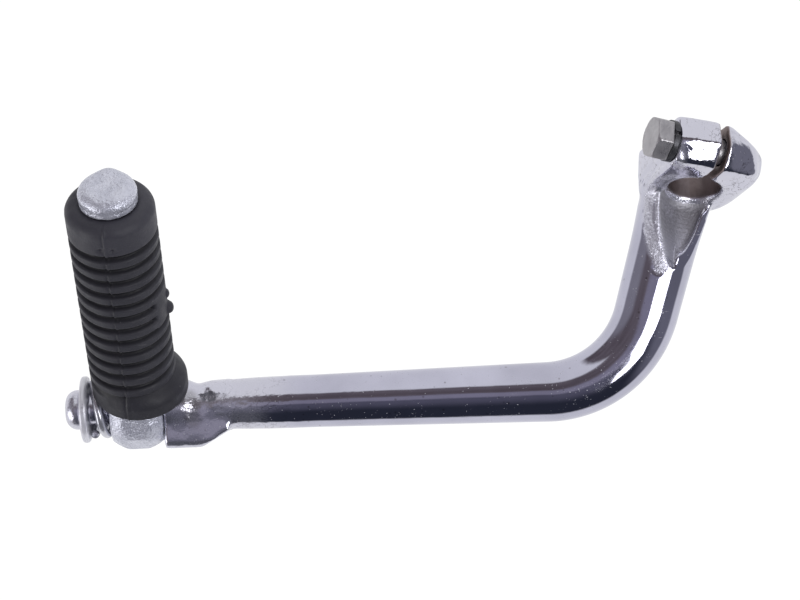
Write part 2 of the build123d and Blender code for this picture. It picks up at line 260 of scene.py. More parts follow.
# Then the bar is trued to its round, the lug's nose is turned back, its top is crowned, a ridge rises along
# the hollow's right edge, and the skin is marked where it is bare, grimy, ground, dull or rough.
boss_reach = 0.03
bar_stop = bar_run - 0.006
true_fade = (0.0002, 0.0005)
nose_from = 0.002
nose_start = 0.003
nose_slope = 0.25
nose_round = 0.0012
nose_fade = (-0.008, -0.001)
crown_foot = 0.012
crown_height = 0.0011
crown_place = -0.0025
crown_width = 0.006
crown_drop = 0.0007
crown_drop_fade = (0.009, 0.0145)
crown_fade = (0.013, 0.02)
bore_wall = (0.0079, 0.0082)
bore_end = (0.0064, 0.007)
slit_wall = (0.0015, 0.0019)
slit_floor = (0.006, 0.008)
boss_grime = (0.02, 0.04)
shoulder_grime = (bar_run - 0.03, bar_run - 0.018)
hollow_top = -0.0078
hollow_end = 0.06
hollow_fade = (0.0003, 0.0012)
ridge_width = 0.0032
ridge_height = 0.0012
ridge_inner_radius = 0.0085
ridge_start = (0.0085, 0.012)
ridge_fade = (0.0014, 0.0024)
dull_fade = (0.016, 0.027)
lip_skin_heights = (-0.0095, -0.0055)
lip_inner = (0.0079, 0.0083)
lip_outer = (0.0096, 0.0108)
peened_from = 0.0172
shoulder_skin = (bar_run - 0.02, bar_run - 0.012)
for vert in arm_shape.verts:
    centre, station = bar_station(vert.co)
    spoke = vert.co - centre
    radius = bar_radius(station)
    if boss_reach < station < bar_stop:
        weight = 1 - soft_step(*true_fade, abs(spoke.length - radius))
        vert.co = centre + spoke * (1 + weight * (radius / spoke.length - 1))
    along = vert.co.dot(bolt_axis)
    lug_depth = (vert.co - lug_front_point).dot(lug_front)
    if along > nose_from and lug_depth > nose_fade[0] and station < boss_reach:
        turn = max(0, along - nose_start)
        back = nose_slope * (turn ** 2 + nose_round ** 2) ** 0.5 - nose_slope * nose_round
        vert.co -= lug_front * back * soft_step(*nose_fade, lug_depth)
    if vert.co.dot(lug_axis) > crown_foot and station < boss_reach:
        crown = crown_height * exp(-((along - crown_place) / crown_width) ** 2)
        crown -= crown_drop * soft_step(*crown_drop_fade, -along)
        vert.co += lug_axis * crown * soft_step(*crown_fade, vert.co.dot(lug_axis))
    from_bore = bore_radius(vert.co)
    in_bore = (1 - soft_step(*bore_wall, from_bore)) * (1 - soft_step(*bore_end, abs(vert.co.y)))
    in_slit = (1 - soft_step(*slit_wall, abs(along))) * soft_step(*slit_floor, vert.co.dot(lug_axis))
    vert[bare_layer] = max(in_bore, in_slit)
    vert[grime_layer] = max(1 - soft_step(*boss_grime, station), 0.8 * soft_step(*shoulder_grime, station))
    if vert.co.y < hollow_top and station < hollow_end and spoke.z > 0:
        depth = radius - spoke.length
        on_right = vert.co.x * centre.z < vert.co.z * centre.x
        vert[ground_layer] = soft_step(*hollow_fade, depth)
        if on_right and 0 < depth < ridge_width and from_bore > ridge_inner_radius:
            rise = ridge_height * sin(pi * depth / ridge_width) ** 2 * soft_step(*ridge_start, -vert.co.y)
            vert.co -= Vector((vert.co.x, 0, vert.co.z)) * (rise / from_bore)
            vert[ground_layer] = soft_step(*ridge_fade, depth)
        vert[dull_layer] = vert[ground_layer] * (1 - 0.5 * soft_step(*dull_fade, -vert.co.y))
    # The bore's lip and the peened pivot end count as rough skin, which the chrome paints lighter as a painted
    # reflection.
    if lip_skin_heights[0] < vert.co.y < lip_skin_heights[1]:
        vert[rough_layer] = 0.75 * (soft_step(*lip_inner, from_bore) * (1 - soft_step(*lip_outer, from_bore)))
    if (vert.co - pivot).dot(reach_axis) > peened_from:
        vert[rough_layer] = 0.6
    if station > shoulder_skin[0]:
        vert[rough_layer] = max(vert[rough_layer], 0.38 * soft_step(*shoulder_skin, station))
relax(arm_shape, arm_shape.verts, rounds=2)
arm_shape.normal_update()
for vert in arm_shape.verts:
    rough = lumpy = dulled = 0
    for line, reach, rough_share, lump_share, dull_share in forging_marks:
        close = near_line(vert.co, line, reach)
        rough = max(rough, rough_share * close)
        lumpy = max(lumpy, lump_share * close)
        dulled = max(dulled, dull_share * close)
    crease = max(near_line(vert.co, line, crease_reach) for line in forged_creases)
    if crease > 0:
        vert.co -= vert.normal * crease * (crease_depth + crease_change * noise.noise(vert.co * crease_scale))
    if lumpy > 0:
        vert[rough_layer] = max(vert[rough_layer], rough)
        vert[dull_layer] = max(vert[dull_layer], dulled)
        lumps = (noise.noise(vert.co * fine_lump_scale) * fine_lump
                 + noise.noise(vert.co * broad_lump_scale) * broad_lump)
        vert.co += vert.normal * (lumps - lump_sink) * lumpy
close_mesh(arm_shape, forged_arm)


def add_node(tree, kind, place, **values):
    """One node of a material, with the given settings and unlinked inputs."""
    made = tree.nodes.new(kind)
    made.location = place
    for name, value in values.items():
        label = name.replace("_", " ").title()
        if label in made.inputs:
            made.inputs[label].default_value = value
        else:
            setattr(made, name, value)
    return made


def painted(tree, place, name):
    """A mask that the piece carries on its own vertices."""
    return add_node(tree, "ShaderNodeAttribute", place, attribute_name=name).outputs["Fac"]


def effect_group(name, inputs, output):
    """An empty node group with named inputs and one output, for an effect that several finishes share."""
    group = bpy.data.node_groups.new(name, "ShaderNodeTree")
    for label, kind in inputs:
        group.interface.new_socket(label, in_out="INPUT", socket_type="NodeSocket" + kind)
    group.interface.new_socket(output[0], in_out="OUTPUT", socket_type="NodeSocket" + output[1])
    return group, add_node(group, "NodeGroupInput", (-900, 0)), add_node(group, "NodeGroupOutput", (500, 0))


def place_effect(tree, group, place, vector, **values):
    """An effect group placed in a finish, on the piece's own coordinates, with its own values."""
    made = add_node(tree, "ShaderNodeGroup", place)
    made.node_tree = group
    tree.links.new(vector, made.inputs["Vector"])
    for name, value in values.items():
        made.inputs[name.replace("_", " ").title()].default_value = value
    return made.outputs[0]


def combine(tree, kind, place, first, second):
    """A sum, product or other arithmetic of two masks or numbers."""
    made = add_node(tree, "ShaderNodeMath", place, operation=kind)
    for socket, value in zip(made.inputs, (first, second)):
        if isinstance(value, (int, float)):
            socket.default_value = value
        else:
            tree.links.new(value, socket)
    return made.outputs[0]


def mix_colours(tree, place, mask, first, second):
    """The first colour where the mask is 0 and the second where it is 1."""
    made = add_node(tree, "ShaderNodeMix", place, data_type="RGBA")
    tree.links.new(mask, made.inputs[0])
    for socket, value in ((made.inputs[6], first), (made.inputs[7], second)):
        if isinstance(value, tuple):
            socket.default_value = value
        else:
            tree.links.new(value, socket)
    return made.outputs[2]


def raised(tree, place, height, distance, under=None):
    """A bump of a real height in metres, over another bump where one is given."""
    made = add_node(tree, "ShaderNodeBump", place, distance=distance)
    tree.links.new(height, made.inputs["Height"])
    if under:
        tree.links.new(under, made.inputs["Normal"])
    return made.outputs[0]


speck_inputs = [("Vector", "Vector"), ("Scale", "Float"), ("Share", "Float"), ("Size", "Float")]
specks, given, sent = effect_group("scattered_specks", speck_inputs, ("Mask", "Float"))
cells = add_node(specks, "ShaderNodeTexVoronoi", (-600, 0))
specks.links.new(given.outputs["Vector"], cells.inputs["Vector"])
specks.links.new(given.outputs["Scale"], cells.inputs["Scale"])
chance = add_node(specks, "ShaderNodeSeparateColor", (-400, -200))
specks.links.new(cells.outputs["Color"], chance.inputs[0])
chosen = combine(specks, "LESS_THAN", (-200, -200), chance.outputs[0], given.outputs["Share"])
spot_size = combine(specks, "MULTIPLY", (-200, -400), given.outputs["Size"], chance.outputs[1])
spot = add_node(specks, "ShaderNodeMapRange", (0, 0), interpolation_type="SMOOTHSTEP", to_min=1, to_max=0)
specks.links.new(cells.outputs["Distance"], spot.inputs["Value"])
specks.links.new(spot_size, spot.inputs["From Max"])
specks.links.new(combine(specks, "MULTIPLY", (200, 0), spot.outputs[0], chosen), sent.inputs[0])

scratches, given, sent = effect_group("fine_scratches", speck_inputs, ("Mask", "Float"))
scratch_turns = (Vector((0.2, 0.5, 0.35)), Vector((0.4, -0.3, -0.9)), Vector((1.1, 0.2, 1.5)))
scratch_stretch = (22, 1, 1)
streaks = []
for turn, drop in zip(scratch_turns, (0, -300, -600)):
    stretch = add_node(scratches, "ShaderNodeMapping", (-600, drop), vector_type="TEXTURE", rotation=turn,
                       scale=scratch_stretch)
    scratches.links.new(given.outputs["Vector"], stretch.inputs["Vector"])
    streak = add_node(scratches, "ShaderNodeGroup", (-300, drop))
    streak.node_tree = specks
    scratches.links.new(stretch.outputs[0], streak.inputs["Vector"])
    for label in ("Scale", "Share", "Size"):
        scratches.links.new(given.outputs[label], streak.inputs[label])
    streaks.append(streak.outputs[0])
any_streak = combine(scratches, "MAXIMUM", (0, 0), streaks[0], streaks[1])
scratches.links.new(combine(scratches, "MAXIMUM", (200, 0), any_streak, streaks[2]), sent.inputs[0])

cloud_inputs = [("Vector", "Vector"), ("Scale", "Float"), ("Detail", "Float"), ("Low", "Float"), ("High", "Float")]
clouding, given, sent = effect_group("soft_clouding", cloud_inputs, ("Value", "Float"))
cloud = add_node(clouding, "ShaderNodeTexNoise", (-600, 0))
for label in ("Vector", "Scale", "Detail"):
    clouding.links.new(given.outputs[label], cloud.inputs[label])
levels = add_node(clouding, "ShaderNodeMapRange", (-200, 0), from_min=0.3, from_max=0.7)
clouding.links.new(cloud.outputs[0], levels.inputs["Value"])
clouding.links.new(given.outputs["Low"], levels.inputs["To Min"])
clouding.links.new(given.outputs["High"], levels.inputs["To Max"])
clouding.links.new(levels.outputs[0], sent.inputs[0])

deep_plate = (0.45, 0.447, 0.54, 1)
pale_plate = (0.54, 0.537, 0.645, 1)
hazy_plate = (0.68, 0.678, 0.75, 1)
etched_plate = (0.2, 0.19, 0.21, 1)
pitted_plate = (0.25, 0.24, 0.27, 1)
rough_skin_painted_reflection = (0.7, 0.7, 0.78, 1)
dusty_plate = (0.5, 0.5, 0.54, 1)
deep_oil = (0.21, 0.176, 0.165, 1)
pale_oil = (0.28, 0.22, 0.22, 1)
deep_dull = (0.25, 0.245, 0.265, 1)
pale_dull = (0.34, 0.335, 0.36, 1)
etched_width = 0.07
sway_height = 0.00005
cast_height = 0.00009
grain_height = 0.00018
cutter_height = 0.00003

chrome = bpy.data.materials.new("bright_chrome")
chrome.use_nodes = True
tree = chrome.node_tree
shader = tree.nodes["Principled BSDF"]
where = add_node(tree, "ShaderNodeTexCoord", (-1800, 0)).outputs["Object"]
rough_skin = painted(tree, (-1800, -300), "rough_skin")
bare_steel = painted(tree, (-1800, -500), "bare_steel")
ground_hollow = painted(tree, (-1800, -700), "ground_hollow")
dull_plating = painted(tree, (-1800, -900), "dull_plating")
grime = painted(tree, (-1800, -1100), "grime")
dust = place_effect(tree, specks, (-1500, 300), where, scale=1300, share=0.12, size=0.36)
lint = place_effect(tree, scratches, (-1500, 100), where, scale=1700, share=0.1, size=0.34)
pits = place_effect(tree, specks, (-1500, -100), where, scale=600, share=0.16, size=0.4)
tone = place_effect(tree, clouding, (-1500, -300), where, scale=60, detail=4, low=0, high=1)
haze = place_effect(tree, clouding, (-1500, -500), where, scale=130, detail=5, low=0.02, high=0.13)
grain = place_effect(tree, clouding, (-1500, -700), where, scale=1500, detail=3, low=0, high=1)
sway = place_effect(tree, clouding, (-1500, -900), where, scale=70, detail=2, low=0, high=1)
cast = place_effect(tree, clouding, (-1500, -1100), where, scale=230, detail=4, low=0, high=1)
etching = place_effect(tree, clouding, (-1500, 500), where, scale=380, detail=5, low=-1, high=1)
patches = place_effect(tree, clouding, (-1500, 700), where, scale=120, detail=3, low=-0.4, high=1)

etched = combine(tree, "ABSOLUTE", (-1400, 500), etching, 0)
etched = combine(tree, "LESS_THAN", (-1300, 500), etched, etched_width)
etched = combine(tree, "MULTIPLY", (-1200, 700), etched, patches)
etched = combine(tree, "MULTIPLY", (-1100, 700), etched, grime)
etched = combine(tree, "MAXIMUM", (-1000, 700), etched, 0)
film = combine(tree, "MAXIMUM", (-1100, 0), dust, lint)
hazy = combine(tree, "MULTIPLY", (-1100, 500), grime, 0.6)
rough_reflection_share = combine(tree, "MULTIPLY", (-900, 700), rough_skin, 0.7)
dulled = combine(tree, "MULTIPLY", (-700, 500), dull_plating, 0.8)
oiled = mix_colours(tree, (-900, 100), tone, deep_oil, pale_oil)
dull = mix_colours(tree, (-900, 500), grain, deep_dull, pale_dull)
plate = mix_colours(tree, (-1100, 300), tone, deep_plate, pale_plate)
plate = mix_colours(tree, (-1000, 300), hazy, plate, hazy_plate)
plate = mix_colours(tree, (-950, 300), etched, plate, etched_plate)
plate = mix_colours(tree, (-900, 300), pits, plate, pitted_plate)
# Rough skin is real rough forged steel, with a lighter colour painted on as a painted reflection of the bright
# studio.
plate = mix_colours(tree, (-800, 300), rough_reflection_share, plate, rough_skin_painted_reflection)
plate = mix_colours(tree, (-700, 300), film, plate, dusty_plate)
plate = mix_colours(tree, (-500, 300), dulled, plate, dull)
tree.links.new(mix_colours(tree, (-300, 300), bare_steel, plate, oiled), shader.inputs["Base Color"])

cover = combine(tree, "MULTIPLY", (-900, -100), film, 0.8)
cover = combine(tree, "MAXIMUM", (-800, -100), cover, combine(tree, "MULTIPLY", (-900, 0), rough_skin, 0.35))
cover = combine(tree, "MAXIMUM", (-700, -100), cover, combine(tree, "MULTIPLY", (-800, 0), ground_hollow, 0.35))
tree.links.new(combine(tree, "SUBTRACT", (-600, -100), 1.0, cover), shader.inputs["Metallic"])

blur = combine(tree, "MULTIPLY", (-900, -300), ground_hollow, 0.3)
blur = combine(tree, "ADD", (-700, -300), blur, haze)
blur = combine(tree, "ADD", (-500, -300), blur, combine(tree, "MULTIPLY", (-700, -400), bare_steel, 0.42))
blur = combine(tree, "ADD", (-300, -300), blur, combine(tree, "MULTIPLY", (-500, -400), rough_skin, 0.18))
blur = combine(tree, "ADD", (-150, -300), blur, combine(tree, "MULTIPLY", (-300, -400), film, 0.5))
tree.links.new(blur, shader.inputs["Roughness"])

worked = combine(tree, "POWER", (-1300, -600), rough_skin, 3)
ground_grain = combine(tree, "MULTIPLY", (-1300, -700), ground_hollow, 0.35)
worked = combine(tree, "MAXIMUM", (-1100, -700), worked, ground_grain)
cutter = add_node(tree, "ShaderNodeTexWave", (-1500, -1300), bands_direction="Y", scale=240, distortion=7, detail=4)
tree.links.new(where, cutter.inputs["Vector"])
cutter_marks = combine(tree, "MULTIPLY", (-900, -1300), cutter.outputs["Fac"], ground_hollow)
cast_skin = combine(tree, "MULTIPLY", (-900, -900), cast, grime)
worked_grain = combine(tree, "MULTIPLY", (-900, -700), grain, worked)
relief = raised(tree, (-700, -900), sway, sway_height)
relief = raised(tree, (-600, -900), cast_skin, cast_height, relief)
relief = raised(tree, (-500, -900), worked_grain, grain_height, relief)
relief = raised(tree, (-400, -900), cutter_marks, cutter_height, relief)
tree.links.new(relief, shader.inputs["Normal"])
forged_arm.data.materials.append(chrome)
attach(forged_arm, "arm")
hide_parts("lever_arm")

# Pedal: a zinc-plated forging. Its faceted eye turns on the pivot and its post carries the rubber,
# with a rounded head on top that keeps the rubber on.
pedal_axis = Vector((-0.042682, 0.406094, 0.912834))
sleeve_seat = Vector((-0.1690115, -0.074358, -0.0228169))
sleeve_right = -reach_axis
sleeve_back = pedal_axis.cross(sleeve_right)
post_voxel = 0.0004
eye_half_length = 0.0083
eye_bore_skin = 0.0062
eye_top = -0.0004
eye_radius = 0.0134
eye_fall = 0.0034
mid_facets = 14
mid_first = 0.66
mid_distance = 0.0129
end_facets = 7
end_first = 0.32
end_distance = 0.01295
end_out = 0.847
end_along = 0.531
head_start = 0.0772
head_base = 0.0782
head_square = 2.5
head_draw = 0.985


def eye_way(below):
    """The direction out of the eye at an angle below its front."""
    return shoulder_front * cos(below) - shoulder_up * sin(below)


eye_facets = [(eye_way(mid_first + turn * 2 * pi / mid_facets), mid_distance) for turn in range(mid_facets)]
for turn in range(end_facets):
    facet_way = eye_way(end_first + turn * 2 * pi / end_facets)
    for side in (-1, 1):
        eye_facets.append((facet_way * end_out + reach_axis * end_along * side, end_distance))

pedal_forging = skin_copy("pedal_post", "pedal_forging", post_voxel)
post_shape = open_mesh(pedal_forging.data)
relax(post_shape, post_shape.verts, rounds=4)
for vert in post_shape.verts:
    off = vert.co - pivot
    along = off.dot(reach_axis)
    spoke = off - reach_axis * along
    if (vert.co - sleeve_seat).dot(pedal_axis) < eye_top and spoke.length > eye_bore_skin:
        limit = eye_radius - eye_fall * (abs(along) / eye_half_length) ** 2
        if spoke.length > limit:
            vert.co = pivot + reach_axis * along + spoke * (limit / spoke.length)
        for facet_way, distance in eye_facets:
            vert.co -= facet_way * max(0, (vert.co - pivot).dot(facet_way) - distance)
eye_skin = [v for v in post_shape.verts if (v.co - sleeve_seat).dot(pedal_axis) < 0.001]
relax(post_shape, eye_skin, rounds=1)

# The head is drawn towards a squarer dome, with its top dished around a low crown at the back.
dish_depth = 0.0011
dish_fade = (0.0778, 0.0828)
crest_width = 0.0032
crest_fade = (0.002, 0.0085)
crest_rise = 0.0007
crest_heights = (0.0785, 0.0815)
head_skin = [v for v in post_shape.verts if (v.co - sleeve_seat).dot(pedal_axis) > head_start]
head_top = max((v.co - sleeve_seat).dot(pedal_axis) for v in head_skin) - head_base
head_radius = max((v.co - sleeve_seat).cross(pedal_axis).length for v in head_skin)
for vert in head_skin:
    off = vert.co - sleeve_seat
    up = off.dot(pedal_axis) - head_base
    out = off.cross(pedal_axis).length
    if up > 0 and out > 0:
        square = ((up / head_top) ** 2 + (out / head_radius) ** 2) ** 0.5
        square /= ((up / head_top) ** head_square + (out / head_radius) ** head_square) ** (1 / head_square)
        vert.co += (off - pedal_axis * head_base) * (head_draw * square - 1)
        off = vert.co - sleeve_seat
    height = off.dot(pedal_axis)
    crest = exp(-(off.dot(sleeve_right) / crest_width) ** 2) * soft_step(*crest_fade, off.dot(sleeve_back))
    sink = dish_depth * soft_step(*dish_fade, height) * (1 - crest)
    vert.co -= pedal_axis * sink * 0.4
    vert.co += sleeve_back * crest_rise * crest * soft_step(*crest_heights, height)
relax(post_shape, head_skin, rounds=3)
post_shape.normal_update()
for vert in post_shape.verts:
    lumps = noise.noise(vert.co * 300) * 0.00005 + noise.noise(vert.co * 900) * 0.00004
    vert.co += vert.normal * (lumps - 0.00004)
close_mesh(post_shape, pedal_forging)


def plated_metal(name, pale, deep, metallic, roughness, grain_size, grain_height):
    """A plated steel finish: two tones in clouds, dark specks, uneven gloss and a grain of a real height."""
    finish = bpy.data.materials.new(name)
    finish.use_nodes = True
    tree = finish.node_tree
    shader = tree.nodes["Principled BSDF"]
    shader.inputs["Metallic"].default_value = metallic
    where = add_node(tree, "ShaderNodeTexCoord", (-1400, 0)).outputs["Object"]
    tone = place_effect(tree, clouding, (-1100, 300), where, scale=260, detail=5, low=0, high=1)
    stain = place_effect(tree, specks, (-1100, 100), where, scale=520, share=0.16, size=0.4)
    gloss = place_effect(tree, clouding, (-1100, -100), where, scale=420, detail=4, low=roughness * 0.75,
                         high=roughness * 1.25)
    grain = place_effect(tree, clouding, (-1100, -300), where, scale=1 / grain_size, detail=4, low=0, high=1)
    lines = place_effect(tree, scratches, (-1100, -500), where, scale=1500, share=0.05, size=0.3)
    colour = mix_colours(tree, (-700, 300), tone, deep, pale)
    dark = tuple(0.5 * channel for channel in deep[:3]) + (1,)
    tree.links.new(mix_colours(tree, (-500, 300), stain, colour, dark), shader.inputs["Base Color"])
    tree.links.new(gloss, shader.inputs["Roughness"])
    relief = raised(tree, (-700, -300), grain, grain_height)
    tree.links.new(raised(tree, (-500, -300), lines, -0.00001, relief), shader.inputs["Normal"])
    return finish


grainy_zinc = plated_metal("grainy_zinc", pale=(0.73, 0.745, 0.84, 1), deep=(0.58, 0.595, 0.69, 1), metallic=0.48,
                           roughness=0.24, grain_size=0.0009, grain_height=0.00018)
pedal_forging.data.materials.append(grainy_zinc)
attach(pedal_forging, "pedal")
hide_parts("pedal_post")

# Pedal rubber: a moulded sleeve pulled over the post, with round ribs for the foot, a plain collar at the
# top and a base flange that swells towards the bar. A mould line runs down its front.
sleeve_frame = Matrix((sleeve_right, sleeve_back, pedal_axis)).transposed().to_4x4()
sleeve_frame.translation = sleeve_seat
sleeve_radius = 0.0133
sleeve_length = 0.0766
sleeve_bore = 0.00656
sleeve_foot = 0.00006
sleeve_inside = 0.007
groove_depth = 0.0018
groove_pitch = 0.00483
groove_first = 0.0074
groove_count = 13
groove_wall = (0.0007, 0.0014)
groove_shade = (0.0002, 0.0012)
top_round = 0.0034
flange_radius = 0.0146
flange_shift = 0.0019
flange_fade = (0.0036, 0.0112)
rings = 260
turns = 240
# The mould's two halves meet at the seam, one a little proud, with a bead and a groove along the joint.
seam_angle = -1.66
half_step = 0.00008
half_fade = (-0.0002, 0.0002)
half_sink = 0.00012
seam_width = 0.0003
seam_rise = 0.00032
seam_bead = 0.0002
seam_sink = 0.00025
seam_groove = -0.0004
# A plain pad at the right side carries a nib and a smaller bead, and two nicks flank the seam below the top.
pad_from = (-0.72, -0.6)
pad_to = (0.1, 0.22)
pad_low = (0.0305, 0.0325)
pad_high = (0.043, 0.0455)
nib_angle = 0.02
nib_height = 0.0332
nib_half = (0.0021, 0.002)
nib_rise = 0.0017
bead_height = 0.039
bead_half = (0.0015, 0.0013)
bead_rise = 0.0009
nick_height = 0.0688
nick_middle = 0.0004
nick_spread = 0.0018
nick_size = 0.0007
nick_depth = 0.0009
pale_collar_band = (0.0662, 0.067)


def groove_share(height):
    """1 on the floor of a groove between two ribs, and 0 on the crest of a rib."""
    from_groove = (height - groove_first) / groove_pitch
    nearest = min(groove_count - 1, max(0, round(from_groove)))
    return 1 - soft_step(*groove_wall, abs(from_groove - nearest) * groove_pitch)


def turned(shape, profile, steps):
    """A closed profile turned once round the z axis, with its seam closed."""
    for first, second in zip(profile, profile[1:] + profile[:1]):
        shape.edges.new((first, second))
    bmesh.ops.spin(shape, geom=shape.verts[:] + shape.edges[:], cent=(0, 0, 0), axis=(0, 0, 1), angle=2 * pi,
                   steps=steps, use_merge=True)
    bmesh.ops.remove_doubles(shape, verts=shape.verts, dist=join_distance)


moulded_rubber = place_object("moulded_rubber", bpy.data.meshes.new("moulded_rubber"))
rubber_shape = bmesh.new()
painted_groove_shade_layer = rubber_shape.verts.layers.float.new("groove")
crest_highlight_collar_layer = rubber_shape.verts.layers.float.new("crest_highlight_collar")
rim = [rubber_shape.verts.new((sleeve_radius, 0, sleeve_length * k / rings)) for k in range(rings + 1)]
wall = [rubber_shape.verts.new((sleeve_bore, 0, height)) for height in (sleeve_length, sleeve_foot)]
turned(rubber_shape, rim + wall, turns)
for vert in rubber_shape.verts:
    height = vert.co.z
    if vert.co.xy.length < sleeve_inside:
        continue
    around = Vector((vert.co.x, vert.co.y, 0)).normalized()
    angle = atan2(around.y, around.x)
    swell = 1 - soft_step(*flange_fade, height)
    shift = around.x * flange_shift
    flange = shift + (flange_radius ** 2 - flange_shift ** 2 + shift ** 2) ** 0.5
    seam = (angle - seam_angle) * sleeve_radius
    half = half_step * soft_step(*half_fade, seam)
    pad = (soft_step(*pad_from, angle) * (1 - soft_step(*pad_to, angle))
           * soft_step(*pad_low, height) * (1 - soft_step(*pad_high, height)))
    groove = groove_share(height) * (1 - pad)
    radius = sleeve_radius - half_sink + half - groove_depth * groove
    radius = max(radius, sleeve_radius - groove_depth + swell * (flange - sleeve_radius + groove_depth))
    radius += (seam_rise * exp(-((seam - seam_bead) / seam_width) ** 2)
               - seam_sink * exp(-((seam - seam_groove) / seam_width) ** 2))
    beside = (angle - nib_angle) * sleeve_radius
    nib = (beside / nib_half[0]) ** 2 + ((height - nib_height) / nib_half[1]) ** 2
    bead = (beside / bead_half[0]) ** 2 + ((height - bead_height) / bead_half[1]) ** 2
    radius += nib_rise * max(0, 1 - nib) ** 0.5 + bead_rise * max(0, 1 - bead) ** 0.5
    for side in (-nick_spread, nick_spread):
        nick = ((seam - nick_middle - side) / nick_size) ** 2 + ((height - nick_height) / nick_size) ** 2
        radius -= nick_depth * exp(-nick)
    fall = min(1, max(0, height - (sleeve_length - top_round)) / top_round)
    radius -= top_round * (1 - (1 - fall ** 2) ** 0.5)
    vert.co.x, vert.co.y = around.x * radius, around.y * radius
    # The groove floors carry a painted shade, which is darker where the groove is deeper.
    vert[painted_groove_shade_layer] = groove * soft_step(*groove_shade, sleeve_radius - radius)
    # A painted highlight on the rib crests above the flange, and a paler band up the collar.
    vert[crest_highlight_collar_layer] = max(0.5 * (1 - groove) * (1 - swell), soft_step(*pale_collar_band, height))
bmesh.ops.recalc_face_normals(rubber_shape, faces=rubber_shape.faces)
bmesh.ops.transform(rubber_shape, matrix=sleeve_frame, verts=rubber_shape.verts)
close_mesh(rubber_shape, moulded_rubber)

deep_rubber = (0.021, 0.021, 0.028, 1)
pale_rubber = (0.031, 0.031, 0.04, 1)
crest_highlight_collar_rubber = (0.068, 0.067, 0.085, 1)
dusty_rubber = (0.1, 0.1, 0.11, 1)
painted_groove_shade = (0.008, 0.008, 0.011, 1)
rubber = bpy.data.materials.new("moulded_black_rubber")
rubber.use_nodes = True
tree = rubber.node_tree
shader = tree.nodes["Principled BSDF"]
shader.inputs["Specular IOR Level"].default_value = 0.35
where = add_node(tree, "ShaderNodeTexCoord", (-1400, 0)).outputs["Object"]
groove = painted(tree, (-1400, -300), "groove")
crest_highlight_collar = painted(tree, (-1400, -500), "crest_highlight_collar")
tone = place_effect(tree, clouding, (-1100, 300), where, scale=120, detail=5, low=0, high=1)
dust = place_effect(tree, specks, (-1100, 100), where, scale=650, share=0.07, size=0.3)
rubs = place_effect(tree, scratches, (-1100, -100), where, scale=1100, share=0.04, size=0.3)
gloss = place_effect(tree, clouding, (-1100, -300), where, scale=300, detail=4, low=0.46, high=0.64)
grain = place_effect(tree, clouding, (-1100, -500), where, scale=1800, detail=3, low=0, high=1)
crest_highlight_collar_share = combine(tree, "MULTIPLY", (-700, 500), crest_highlight_collar, 0.5)
dusty = combine(tree, "MAXIMUM", (-700, 100), dust, rubs)
colour = mix_colours(tree, (-700, 300), tone, deep_rubber, pale_rubber)
# Paler rubber: a painted highlight on the rib crests, and the paler collar band.
colour = mix_colours(tree, (-600, 500), crest_highlight_collar_share, colour, crest_highlight_collar_rubber)
colour = mix_colours(tree, (-500, 300), dusty, colour, dusty_rubber)
# Painted shade in the grooves between the ribs.
tree.links.new(mix_colours(tree, (-300, 300), groove, colour, painted_groove_shade), shader.inputs["Base Color"])
tree.links.new(gloss, shader.inputs["Roughness"])
tree.links.new(raised(tree, (-500, -500), grain, 0.00004), shader.inputs["Normal"])
moulded_rubber.data.materials.append(rubber)
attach(moulded_rubber, "pedal")
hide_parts("pedal_rubber")

# Pivot spring: a turn and a half of zinc-plated wire between the eye and the washer, with cut ends.
# Its ends lie flat and the half turn in front crosses from one to the other.
wire_radius = 0.00135
wire_sides = 24
wire_end_round = 0.0006
coil_radius = 0.00785
coil_low = 0.00975
coil_rise = 0.00405
coil_steps = 60
spring_frame = Matrix((-shoulder_up, reach_axis.cross(-shoulder_up), reach_axis)).transposed().to_4x4()
spring_frame.translation = pivot

wound_spring = place_object("wound_spring", bpy.data.meshes.new("wound_spring"))
spring_shape = bmesh.new()
wire = bmesh.ops.create_circle(spring_shape, cap_ends=True, segments=wire_sides, radius=wire_radius)["verts"]
bmesh.ops.rotate(spring_shape, verts=wire, cent=(0, 0, 0), matrix=Matrix.Rotation(pi / 2, 3, "X"))
bmesh.ops.translate(spring_shape, verts=wire, vec=(-coil_radius, 0, coil_low))
tip = spring_shape.faces[:]
for rise in (0, coil_rise, 0):
    swept = bmesh.ops.spin(spring_shape, geom=tip, cent=(0, 0, 0), axis=(0, 0, 1), angle=pi,
                           dvec=(0, 0, rise / coil_steps), steps=coil_steps)
    tip = [part for part in swept["geom_last"] if isinstance(part, bmesh.types.BMFace)]
cut_rims = [edge for edge in spring_shape.edges if edge.is_manifold and edge.calc_face_angle() > 1]
bmesh.ops.bevel(spring_shape, geom=cut_rims, offset=wire_end_round, affect="EDGES", segments=4, profile=0.5,
                material=-1)
bmesh.ops.recalc_face_normals(spring_shape, faces=spring_shape.faces)
bmesh.ops.transform(spring_shape, matrix=spring_frame, verts=spring_shape.verts)
close_mesh(spring_shape, wound_spring)
bright_wire = plated_metal("bright_wire", pale=(0.7, 0.705, 0.76, 1), deep=(0.6, 0.605, 0.66, 1), metallic=0.75,
                           roughness=0.24, grain_size=0.0013, grain_height=0.00002)
wound_spring.data.materials.append(bright_wire)
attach(wound_spring, "arm")
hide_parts("pivot_spring")

